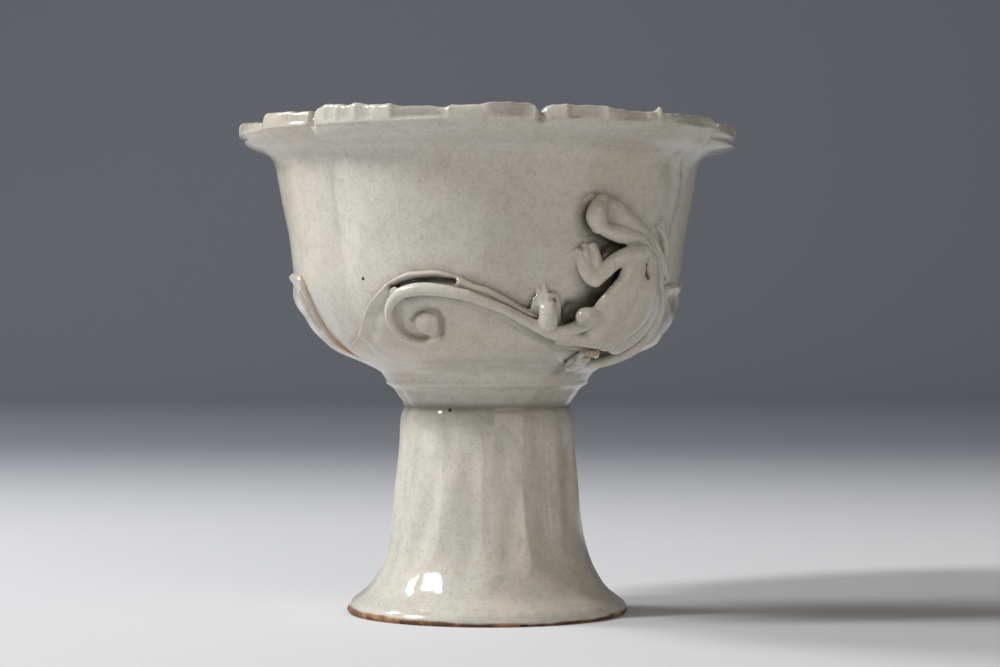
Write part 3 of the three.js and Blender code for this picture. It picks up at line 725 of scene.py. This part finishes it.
def petal(name, edge, curls, rounding, wave):
    """A sheet pressed on the wall between a foot line and a free edge, its two faces meeting all round.

    Rows run from the foot to the edge. The distance from the edge gives the rim: the sheet thins, curls
    up, and ends in a rounded bead with a shallow dish behind it. Its inner face is sunk in the wall. The
    front one is folded and slit, the left one furrowed, by bells of the distance from a line. The slit is
    painted near black as shade, the furrow brown and darker as iron and painted shade, and the right
    petal has a dark patch of painted shade."""
    columns, rows = 340, 64
    line = smooth_line(edge, columns)
    line[:, 1] += wave * (np.sin(line[:, 0] * 0.43) + 0.6 * np.sin(line[:, 0] * 0.83 + 1))
    up = 1 - (1 - np.linspace(0, 1, rows)[None, :]) ** 1.4
    foot_azimuth = np.linspace(edge[0][0], edge[-1][0], columns)[:, None]
    azimuth = mix(foot_azimuth, line[:, :1], up)
    rise = mix(PETAL_FOOT + 0 * foot_azimuth, line[:, 1:], up)
    outline = np.vstack([[(edge[0][0], PETAL_FOOT)], line, [(edge[-1][0], PETAL_FOOT)]])
    rim = gap_to(outline[::3], azimuth, rise)
    rim[:, -1] = rim[0] = rim[-1] = 0
    low = rise - PETAL_FOOT
    curl = np.interp(azimuth, *np.array(curls).T)
    furrow = fold = cut = 0 * rim
    if name == "calyx_left":
        furrow = hump(gap_to(FURROW, azimuth, rise), 0, 0.8)
    if name == "calyx_front":
        fold = 0.5 * hump(gap_to(FOLD, azimuth, rise), 0, 0.8)
        cut = hump(gap_to(SLIT, azimuth, rise), 0, 0.55) + hump(gap_to(PIT, azimuth, rise), 0, 0.6)
    belly = np.interp(rise, *BELLY.T) * step(64, 72, azimuth) * step(160, 150, azimuth)
    ruffle = 0.12 * np.sin(1.3 * rise + 0.21 * azimuth) * step(0, 5, low)
    lift = curl * step(4.6, 0.4, rim) + belly - FURROW_DEPTH * furrow + ruffle
    sunk = -0.12 - 0.28 * step(3, 0, low)
    bead = rounding * hump(rim, 0.8, 0.7)
    thickness = SHEET - 0.6 * step(4.5, 1.2, rim) + bead
    dish = 0.3 * hump(rim, 2.6, 1.3)
    rounded = np.sqrt(1 - (1 - np.clip(rim / 0.75, 0, 1)) ** 2) * step(0, 5, low)
    height = BASE + rise
    wall = wall_radius(azimuth, height)
    outside = mix(sunk, lift + thickness - dish + fold * step(0, 2, rim), rounded) - SLIT_DEPTH * cut
    outside = np.where(cut > 0.02, np.maximum(0.1, outside), outside)
    outer = cylinder_points(azimuth, wall + outside, height)
    inner = cylinder_points(azimuth, wall + sunk, height)
    faces = grid_faces(columns, rows)
    points = np.concatenate([outer.reshape(-1, 3), inner.reshape(-1, 3)])
    # Iron brown on the rim; on the furrow the brown and the darker pool mark are partly painted shade
    rust = hump(rim, 0, 0.7) * (0.2 + 0.8 * hump(rise, 3, 6)) + 0.8 * furrow
    shade = 0.5 * furrow
    # The right petal's pool mark is a dark patch of painted shade on its outer face
    if name == "calyx_right":
        rust *= step(8, 2, rise)
        shade = 0.75 * hump(azimuth, 77, 6) * hump(rise, 12.5, 3)
    # deep mark: the slit and the pit painted near black as shade
    marks = {"iron": rust, "pool_and_shade": shade, "deep": step(0.4, 0.9, cut)}
    marks = {mark: np.concatenate([values.ravel(), 0 * rim.ravel()]) for mark, values in marks.items()}
    return mesh_object("glazed_" + name, points, np.vstack([faces, faces[:, ::-1] + rim.size]), marks)


relief_pieces = []
for name, shape in PETALS.items():
    piece = petal(name, *shape)
    finish_piece(piece, glaze, "petal_glaze", name)
    relief_pieces.append(piece)

# Dragon
# A chilong climbing the bowl. Its limbs are rolls of soft clay, pressed on, fixed with slip along
# their seats and smoothed with a wet brush, except where the body bridges a hollow. One glaze covers
# all of it, so the rolls are made as one skin that is then parted into the pieces it came from.
FREE = None
# How far off the wall the slip under a roll lies; a free roll has none
ON_WALL = 0.0
ON_PETAL = 1.25
# The skin's mesh size in mm, how often it is smoothed, and how thick it is
VOXEL = 0.17
SMOOTHINGS = 12
SKIN = 0.25
# For each piece, its rolls: what the roll is seated on, then its stops, which are azimuth, rise
# above the bowl's base, the centre's distance off the wall, half the width and half the depth
DRAGON = {
    "dragon_torso": [
        (FREE, [(43.4, 23.6, 2.8, 2.3, 1.7), (41.4, 20.7, 3.3, 2.7, 1.7), (40.6, 18.3, 3.5, 3.1, 1.7),
                (39, 15.8, 3.6, 3.8, 1.7), (37.4, 13.4, 3.5, 4.2, 1.8), (36.2, 10.9, 3.3, 3.8, 1.8),
                (36.3, 8.9, 3, 2.9, 1.9)]),
        (ON_WALL, [(48.5, 22.9, 1.6, 2.8, 2.3), (47.5, 19.5, 2, 4, 2.8), (46, 16.4, 2.2, 5, 3),
                   (45.2, 13.4, 2.2, 5.2, 3), (43.4, 10.4, 2, 4.4, 2.6), (42, 7.9, 1.9, 2.8, 2)]),
    ],
    "dragon_neck": [
        (ON_WALL, [(42.9, 27.4, 1.3, 1.8, 1.7), (46, 25.8, 1.4, 2.2, 2.1), (47.4, 23.6, 1.3, 2.3, 2)]),
    ],
    "dragon_head": [
        (ON_WALL, [(30.5, 34.2, 2, 1.3, 1.5), (29.5, 32.8, 2.4, 1.8, 1.8), (29, 31.1, 2.6, 2, 1.9),
                   (30.2, 29.5, 2.5, 1.7, 1.8)]),
        (ON_WALL, [(31.2, 33.2, 1.8, 2, 1.5), (34.4, 31.9, 1.9, 2.6, 1.6), (38.9, 30.3, 1.7, 2.3, 1.6),
                   (43.9, 29.1, 1.5, 1.7, 1.4), (49, 28, 1.3, 0.9, 0.9)]),
    ],
    "dragon_eye_right": [(FREE, [(37.6, 31.6, 2.8, 0.7, 0.7), (38, 31.4, 2.8, 0.7, 0.7)])],
    "dragon_eye_left": [(FREE, [(33.4, 33.4, 2.8, 0.7, 0.7), (33.8, 33.2, 2.8, 0.7, 0.7)])],
    "dragon_jaw": [
        (FREE, [(30.2, 29.4, 2.6, 1.4, 1.7), (33.4, 28.7, 2.7, 1.7, 1.8), (38.2, 27.9, 2.5, 1.8, 1.7),
                (43.4, 27.6, 2.1, 1.3, 1.3), (48.4, 27.6, 1.7, 0.5, 0.6)]),
    ],
    "mane_lock_inner": [
        (ON_WALL, [(48.8, 27.6, 1.2, 0.7, 0.8), (51.7, 24.8, 1.6, 0.8, 0.8), (54.8, 22.2, 1.5, 0.8, 0.8),
                   (58.6, 19.6, 1.1, 0.6, 0.6)]),
        (FREE, [(47.4, 27.1, 1.4, 0.7, 0.8), (48, 24.4, 1.9, 0.7, 0.8), (48, 21.8, 1.9, 0.7, 0.7),
                (50.6, 19.1, 1.5, 0.6, 0.6)]),
    ],
    "mane_lock_outer": [
        (FREE, [(50.1, 27.9, 1.2, 0.6, 0.7), (54.2, 25.2, 1.5, 0.7, 0.8), (59, 22.6, 1.4, 0.7, 0.8),
                (65.3, 20, 1, 0.5, 0.6)]),
        (ON_WALL, [(52.6, 26, 0.9, 1.1, 0.9), (55.6, 23.6, 1, 1.9, 1), (58.6, 21.2, 0.9, 2.4, 0.9),
                   (60, 19.6, 0.8, 2.4, 0.8)]),
    ],
    "near_upper_foreleg": [
        (FREE, [(43.9, 24.8, 3.2, 1.5, 1.7), (39.7, 24.3, 3.4, 1.55, 1.6), (36.5, 23.4, 3.2, 1.55, 1.6),
                (34.3, 22.3, 2.9, 1.5, 1.5), (32.6, 20.9, 2.5, 1.4, 1.4), (30.4, 19.4, 2.2, 1.35, 1.3)]),
        (ON_WALL, [(42.1, 24.2, 1.6, 1.5, 1.6), (37.6, 23.8, 1.3, 1.1, 1.4), (34.7, 22.2, 1, 1, 1.2)]),
    ],
    "near_forearm": [
        (ON_WALL, [(30.4, 19.4, 1.9, 1.4, 1.2), (29, 20.6, 1.6, 1.8, 1.2), (28.5, 22.3, 1.1, 2.2, 1),
                   (28.4, 24.2, 0.6, 2.3, 0.7)]),
    ],
    "near_fore_paw": [
        (ON_WALL, [(28.2, 20.3, 1.7, 1, 0.8), (26.9, 22.6, 1.2, 0.95, 0.7), (25.9, 25, 0.4, 0.8, 0.6)]),
        (FREE, [(28.4, 22.4, 1.3, 0.9, 0.6), (27.9, 24.6, 0.9, 0.85, 0.5), (27.6, 26, 0.4, 0.8, 0.4)]),
        (ON_WALL, [(31.2, 21.4, 1.8, 1.1, 0.8), (30.8, 23.8, 1.3, 1.05, 0.75), (30.1, 26, 0.5, 0.9, 0.6)]),
    ],
    "far_foreleg": [
        (ON_WALL, [(61.3, 21.6, 0.7, 0.8, 0.8), (61, 24.6, 0.9, 0.9, 0.9), (59.4, 27, 0.9, 0.9, 0.9),
                   (57.6, 28.2, 0.8, 0.9, 0.8)]),
    ],
    "far_fore_paw": [
        (ON_WALL, [(57.6, 28.2, 0.9, 0.7, 0.7), (54.8, 29.6, 0.6, 0.5, 0.5)]),
        (ON_WALL, [(57.8, 28.4, 0.9, 0.7, 0.7), (56.8, 30.6, 0.6, 0.5, 0.5)]),
        (ON_WALL, [(58.6, 28.2, 0.9, 0.7, 0.7), (59.8, 30.2, 0.6, 0.5, 0.5)]),
    ],
    "near_haunch": [
        (FREE, [(40.6, 11.3, 3.2, 2.8, 1.9), (34.5, 12.1, 3.4, 2.2, 1.7), (30.5, 12.2, 4, 1.9, 1.9),
                (28.6, 12.2, 4.1, 1.85, 1.9)]),
    ],
    "near_shin": [
        (FREE, [(28.9, 11, 3.6, 1.4, 1.5), (25.4, 10, 3.2, 1.2, 1.2), (22, 9.6, 3, 1.1, 1.1),
                (18.6, 9.8, 3, 1.1, 1.1)]),
        (ON_PETAL, [(34.6, 9.2, 2.4, 1.8, 1.6), (29.9, 8.3, 2.2, 1.5, 1.3), (24.4, 8.1, 2, 1.2, 1.1)]),
    ],
    "near_hind_paw": [
        (ON_PETAL, [(19, 9.7, 2.6, 1.3, 1.4), (18.2, 11.2, 3.1, 1.7, 1.8), (17.9, 13, 2.9, 1.65, 1.6),
                    (17.6, 14.6, 2.2, 1.4, 1.3), (17.2, 16, 0.9, 1, 0.9)]),
        (FREE, [(16.3, 14.9, 1.7, 0.8, 0.8), (15.4, 16.8, 0.5, 0.6, 0.6), (15, 18.4, -0.3, 0.5, 0.4)]),
        (FREE, [(17.4, 15.6, 1.6, 0.8, 0.8), (17.1, 17.4, 0.4, 0.6, 0.6), (16.9, 18.9, -0.3, 0.5, 0.4)]),
        (FREE, [(18.8, 14.4, 1.8, 0.8, 0.8), (19.3, 15.9, 0.5, 0.6, 0.6), (19.6, 17.2, -0.3, 0.5, 0.4)]),
    ],
    "far_hind_leg": [
        (ON_WALL, [(50.5, 18.6, 1.4, 3.2, 2.2), (52.5, 14.8, 1.7, 4.4, 2.5), (52.6, 11, 1.7, 4.4, 2.4),
                   (48, 7.6, 1.7, 3.2, 2.2)]),
        (ON_WALL, [(60.3, 19.2, 0.8, 0.9, 0.9), (61.4, 16.6, 1.2, 1.1, 1.2), (63.6, 13.8, 1.6, 1.15, 1.4),
                   (65.2, 11, 1.8, 1.15, 1.5), (65, 8.4, 2, 1.1, 1.5), (61.5, 5.9, 2.2, 1, 1.5),
                   (55, 4.3, 2.2, 0.95, 1.4), (48, 3.4, 2.1, 0.9, 1.2)]),
    ],
    "far_hind_paw": [
        (ON_PETAL, [(42.6, 5.2, 2.4, 0.9, 0.9), (40.6, 5.6, 2.6, 1, 1), (38.8, 5.6, 2.4, 0.9, 0.9)]),
        (FREE, [(36.6, 5.4, 1.9, 0.6, 0.75), (35.4, 4.2, 1.9, 0.6, 0.75), (36.6, 2.9, 1.9, 0.6, 0.75),
                (40, 2.6, 2, 0.6, 0.75), (43.4, 3.3, 2.1, 0.7, 0.8)]),
        (ON_PETAL, [(38.4, 4.2, 1.7, 1.7, 0.75), (42, 4.2, 1.8, 1.8, 0.8)]),
    ],
    "tail_root": [
        (ON_PETAL, [(37, 8.2, 2.6, 1.9, 1.8), (28.6, 8.6, 2.8, 1.6, 1.5), (20, 9.5, 2.8, 1.3, 1.3),
                    (12.3, 11.5, 2.7, 1, 1.1), (5.7, 13.6, 2.6, 0.85, 1), (-0.5, 15.2, 2.6, 0.85, 1),
                    (-5, 16.4, 2.5, 0.95, 1.05)]),
    ],
    "tail_scroll": [
        (FREE, [(-5, 16.4, 2.5, 0.95, 1.05), (-12.2, 17.4, 2.3, 1.1, 1.15), (-18, 17.6, 2.3, 1.15, 1.2),
                (-23, 16.9, 2.4, 1.05, 1.15), (-26.2, 15.4, 2.6, 0.9, 1.1)]),
        (ON_PETAL, [(-24.4, 16.2, 2.5, 0.95, 1.1), (-26.6, 15.1, 2.6, 0.9, 1.1),
                    (-28.6, 12.8, 2.6, 0.8, 1.05), (-28.6, 10.5, 2.5, 0.75, 1),
                    (-26.8, 8.7, 2.4, 0.75, 0.95), (-23.2, 7.8, 2.3, 0.75, 0.9), (-19, 7.6, 2.2, 0.8, 0.9),
                    (-15.4, 8.6, 2.2, 0.9, 0.9)]),
        (ON_PETAL, [(-19.9, 11.1, 2, 2, 0.9), (-17.5, 11.1, 2.1, 2.5, 1.1), (-15.2, 11.1, 2, 2, 0.9)]),
    ],
}


def wall_slope(azimuth, height):
    """How much the wall's radius grows for each mm upward."""
    return (wall_radius(azimuth, height + 0.4) - wall_radius(azimuth, height - 0.4)) / 0.8


def off_wall(azimuth, height, off):
    """Points at a distance square to the wall from its own place at an azimuth and height."""
    slope = wall_slope(azimuth, height)
    lean = 1 / np.sqrt(1 + slope ** 2)
    return cylinder_points(azimuth, wall_radius(azimuth, height) + off * lean, height - off * slope * lean)


def roll(stops, section, rings=56, sides=26, caps=7):
    """A closed roll bent over the wall. Its path and half sizes run smoothly through the stops, its ends
    are round, and the section gives how far each side point lies across the wall and off it."""
    azimuth, rise, off, width, depth = smooth_line(stops, rings).T
    slope = wall_slope(azimuth, BASE + rise)
    foot_z = BASE + rise + off * slope / (1 + slope ** 2)
    off = off / np.sqrt(1 + slope ** 2)
    run = np.stack([np.gradient(azimuth) * ARC, np.gradient(foot_z) * np.sqrt(1 + slope ** 2)], axis=-1)
    run /= np.linalg.norm(run, axis=1)[:, None]
    cap = np.linspace(0, np.pi / 2, caps + 1)[:-1]
    end = np.concatenate([-np.cos(cap), np.zeros(rings), np.cos(cap[::-1])])[:, None]
    shrink = np.concatenate([np.sin(cap), np.ones(rings), np.sin(cap[::-1])])[:, None]
    pick = np.concatenate([np.zeros(caps, int), np.arange(rings), np.full(caps, rings - 1)])
    turns = np.linspace(0, 2 * np.pi, sides, endpoint=False)[None, :]
    across, outward = section(turns, width[pick][:, None], depth[pick][:, None])
    back = end * np.minimum(width, depth)[pick][:, None]
    over = back * run[pick, :1] - across * shrink * run[pick, 1:]
    climb = back * run[pick, 1:] + across * shrink * run[pick, :1]
    side_z = foot_z[pick][:, None] + climb / np.sqrt(1 + slope[pick][:, None] ** 2)
    side_azimuth = azimuth[pick][:, None] + np.degrees(over / wall_radius(azimuth, foot_z)[pick][:, None])
    points = off_wall(side_azimuth, side_z, off[pick][:, None] + outward * shrink)
    core = off_wall(azimuth, foot_z, off)
    return points.reshape(-1, 3), grid_faces(len(pick), sides, close_columns=True), core, (width + depth) / 2


def round_section(turns, width, depth):
    """An ellipse."""
    return width * np.cos(turns), depth * np.sin(turns)


def slip_section(turns, width, depth):
    """A bank of slip, equally low under any roll: level, feathered out 1.5 mm past its sides, sunk below."""
    across = (width + 1.5) * np.cos(turns)
    fade = 0.5 + 0.5 * np.cos(np.pi * np.clip((np.abs(across) - width + 0.5) / 2, 0, 1))
    return across, np.where(np.sin(turns) >= 0, 0.5 * fade - 0.08, -0.08 + 0.7 * np.sin(turns))


def joined(parts):
    """The points and faces of several bodies as one."""
    offsets = np.cumsum([0] + [len(part[0]) for part in parts[:-1]])
    return np.vstack([p[0] for p in parts]), np.vstack([p[1] + o for p, o in zip(parts, offsets)])


def one_skin(points, faces):
    """Bodies as one smooth closed skin: remeshed at VOXEL, then smoothed. Its points and its quads, in mm."""
    rough = mesh_object("rough_dragon", points / MM, faces, closed=False)
    remesh = rough.modifiers.new("remesh", "REMESH")
    remesh.mode = "VOXEL"
    remesh.voxel_size = VOXEL
    smooth = rough.modifiers.new("smooth", "SMOOTH")
    smooth.iterations = SMOOTHINGS
    smooth.factor = 0.5
    skin = bpy.data.meshes.new_from_object(rough.evaluated_get(bpy.context.evaluated_depsgraph_get()))
    bpy.data.objects.remove(rough)
    places = np.zeros(len(skin.vertices) * 3)
    skin.vertices.foreach_get("co", places)
    normals = np.zeros(len(skin.vertices) * 3)
    skin.vertices.foreach_get("normal", normals)
    corners = np.zeros(len(skin.loops), int)
    skin.loops.foreach_get("vertex_index", corners)
    return places.reshape(-1, 3), corners.reshape(-1, 4), normals.reshape(-1, 3)


def nearest_roll(places, cores):
    """The number of the roll whose surface each place is nearest to."""
    best = np.full(len(places), np.inf)
    owner = np.zeros(len(places), int)
    for number, (core, thick) in enumerate(cores):
        gap = np.linalg.norm(places[:, None] - core[None, ::2], axis=2) - thick[None, ::2]
        closer = gap.min(axis=1) < best
        best[closer] = gap.min(axis=1)[closer]
        owner[closer] = number
    return owner


def skin_piece(name, faces):
    """One piece cut from the skin: its faces, the same faces SKIN deeper and turned inward, and a wall
    along the cut between the two. It keeps the whole skin's normals, so that no seam shows."""
    used, own = np.unique(faces, return_inverse=True)
    own = own.reshape(-1, 4)
    count = len(used)
    start, end = own.ravel(), np.roll(own, -1, axis=1).ravel()
    cut = ~np.isin(start * count + end, end * count + start)
    start, end = start[cut], end[cut]
    wall = np.stack([end, start, start + count, end + count], axis=1)
    outer, square = skin_points[used], skin_normals[used]
    points = np.vstack([outer, outer - SKIN * square])
    piece = mesh_object(name, points, np.vstack([own, own[:, ::-1] + count, wall]), closed=False)
    piece.data.normals_split_custom_set_from_vertices(np.vstack([square, -square]).tolist())
    return piece


dragon_rolls = []
dragon_slip = []
roll_owner = []
for number, rolls in enumerate(DRAGON.values()):
    for seat, stops in rolls:
        dragon_rolls.append(roll(stops, round_section))
        roll_owner.append(number)
        if seat is not None:
            laid = np.array(stops, float)
            laid[:, 2] = seat
            dragon_slip.append(roll(laid, slip_section))
skin_points, skin_faces, skin_normals = one_skin(*joined(dragon_rolls + dragon_slip))
face_middles = skin_points[skin_faces].mean(axis=1)
face_owner = np.array(roll_owner)[nearest_roll(face_middles, [part[2:] for part in dragon_rolls])]
for number, name in enumerate(DRAGON):
    piece = skin_piece("glazed_" + name, skin_faces[face_owner == number])
    finish_piece(piece, glaze, "relief_glaze", name)
    relief_pieces.append(piece)

# Glaze run and painted shade
# Molten glaze leaves the crests of the relief and gathers in its hollows. Each point's distance off
# the wall is compared with the relief's mean height round it: lower is pooled glaze and painted shade, higher
# is thin.
POOL_REACH = 1.1
# The relief map's step and lowest height in mm and its size. No glaze pools and no shade is painted above
# RELIEF_TOP.
MAP_STEP = 0.25
MAP_LOW = 40.0
MAP_ROWS = 240
MAP_COLUMNS = 960
RELIEF_TOP = 85.0
# Painted shade and stains, each with its mark, its share, its half width, and how near to the wall and how
# far off it lies, then its line of azimuth and rise: pooled glaze and painted shade over the tail's end, on
# the head, at the knee and at the hind foot; painted shade, near black, in the hollows under the body and the
# head, beside the mane and between toes; an iron stain at a toe
SHADE_AND_STAINS = (
    ("pool_and_shade", 0.75, 0.45, -1, 3.2, [(-22.6, 11.9), (-20.2, 13.2), (-16.7, 14), (-13.8, 13.6), (-12.7, 12.1),
                                   (-13.6, 9.3)]),
    ("pool_and_shade", 0.4, 1.5, 2, 6, [(30.5, 33.8), (31.6, 32), (32.7, 30.2)]),
    ("pool_and_shade", 0.45, 1, 3, 8, [(26.2, 14.1), (25.4, 12.8), (27.4, 11)]),
    ("pool_and_shade", 0.8, 0.35, -1, 4, [(34.6, 4.8), (35.4, 2.8)]),
    ("deep", 0.9, 0.75, -1, 1.2, [(39.7, 20.6), (39.4, 19.6), (38.6, 18.3), (36.6, 16.6), (33.8, 15.9),
                                  (28.8, 15.8), (24.6, 15.2), (23.4, 13.8), (23.2, 12.6)]),
    ("deep", 0.7, 0.8, -1, 1.2, [(39.1, 26.8), (36, 26.4), (33.7, 24.7), (33.1, 22.8)]),
    ("deep", 0.95, 0.4, 2, 7, [(44.6, 22.3), (44.9, 21), (45.5, 19.8)]),
    ("deep", 0.6, 0.45, -1, 1.1, [(27.4, 24.4), (26.4, 25.3)]),
    ("deep", 0.8, 0.4, -1, 1.9, [(19.9, 15.5), (19.6, 15.8)]),
    ("iron", 0.65, 0.8, 1, 5, [(38.4, 5.2), (40.4, 5.4)]),
)


def wall_place(points):
    """Each point's column and row on the relief map, and its distance off the wall."""
    azimuth = np.degrees(np.arctan2(points[:, 0], -points[:, 1]))
    height = points[:, 2]
    column = ((azimuth % 360) / 360 * MAP_COLUMNS).astype(int) % MAP_COLUMNS
    row = np.clip(((height - MAP_LOW) / MAP_STEP).astype(int), 0, MAP_ROWS - 1)
    return column, row, np.hypot(points[:, 0], points[:, 1]) - wall_radius(azimuth, height)


def points_of(piece):
    """A piece's points in mm."""
    flat = np.zeros(len(piece.data.vertices) * 3)
    piece.data.vertices.foreach_get("co", flat)
    return flat.reshape(-1, 3) / MM


def spread(relief, reach):
    """The relief map blurred by a bell of a reach in mm."""
    across = np.fft.fftfreq(MAP_COLUMNS, 360 / MAP_COLUMNS * ARC)[:, None]
    up = np.fft.rfftfreq(MAP_ROWS, MAP_STEP)[None, :]
    soften = np.exp(-2 * (np.pi * reach) ** 2 * (across ** 2 + up ** 2))
    return np.fft.irfft2(np.fft.rfft2(relief) * soften, relief.shape)


relief = np.zeros((MAP_COLUMNS, MAP_ROWS))
for piece in relief_pieces:
    column, row, off = wall_place(points_of(piece))
    np.maximum.at(relief, (column, row), off)
mean_relief = spread(relief, POOL_REACH)
for piece in relief_pieces + [bowl]:
    points = points_of(piece)
    column, row, off = wall_place(points)
    sunk = mean_relief[column, row] - off
    outside = (off > -0.7) & (row > 0) & (row < (RELIEF_TOP - MAP_LOW) / MAP_STEP)
    azimuth = np.degrees(np.arctan2(points[:, 0], -points[:, 1]))
    run = {
        # pool mark: pooled glaze and painted shade in the relief's hollows; thin: paler crests
        "pool_and_shade": np.clip((sunk - 0.25) / 1.6, 0, 1) * outside,
        "thin": np.clip((-sunk - 0.5) / 1.2, 0, 1) * outside,
        "deep": 0 * off,
        "iron": 0 * off,
    }
    for mark, share, reach, low, high, line in SHADE_AND_STAINS:
        near = hump(gap_to(np.array(line), azimuth, points[:, 2] - BASE), 0, reach)
        near *= step(low - 0.2, low + 0.2, off) * step(high + 0.2, high - 0.2, off)
        run[mark] = np.maximum(run[mark], share * near * outside)
    for mark, values in run.items():
        held = piece.data.attributes.get(mark)
        if held:
            kept = np.zeros(len(values))
            held.data.foreach_get("value", kept)
            values = np.maximum(values, kept)
        else:
            held = piece.data.attributes.new(mark, "FLOAT", "POINT")
        held.data.foreach_set("value", values)
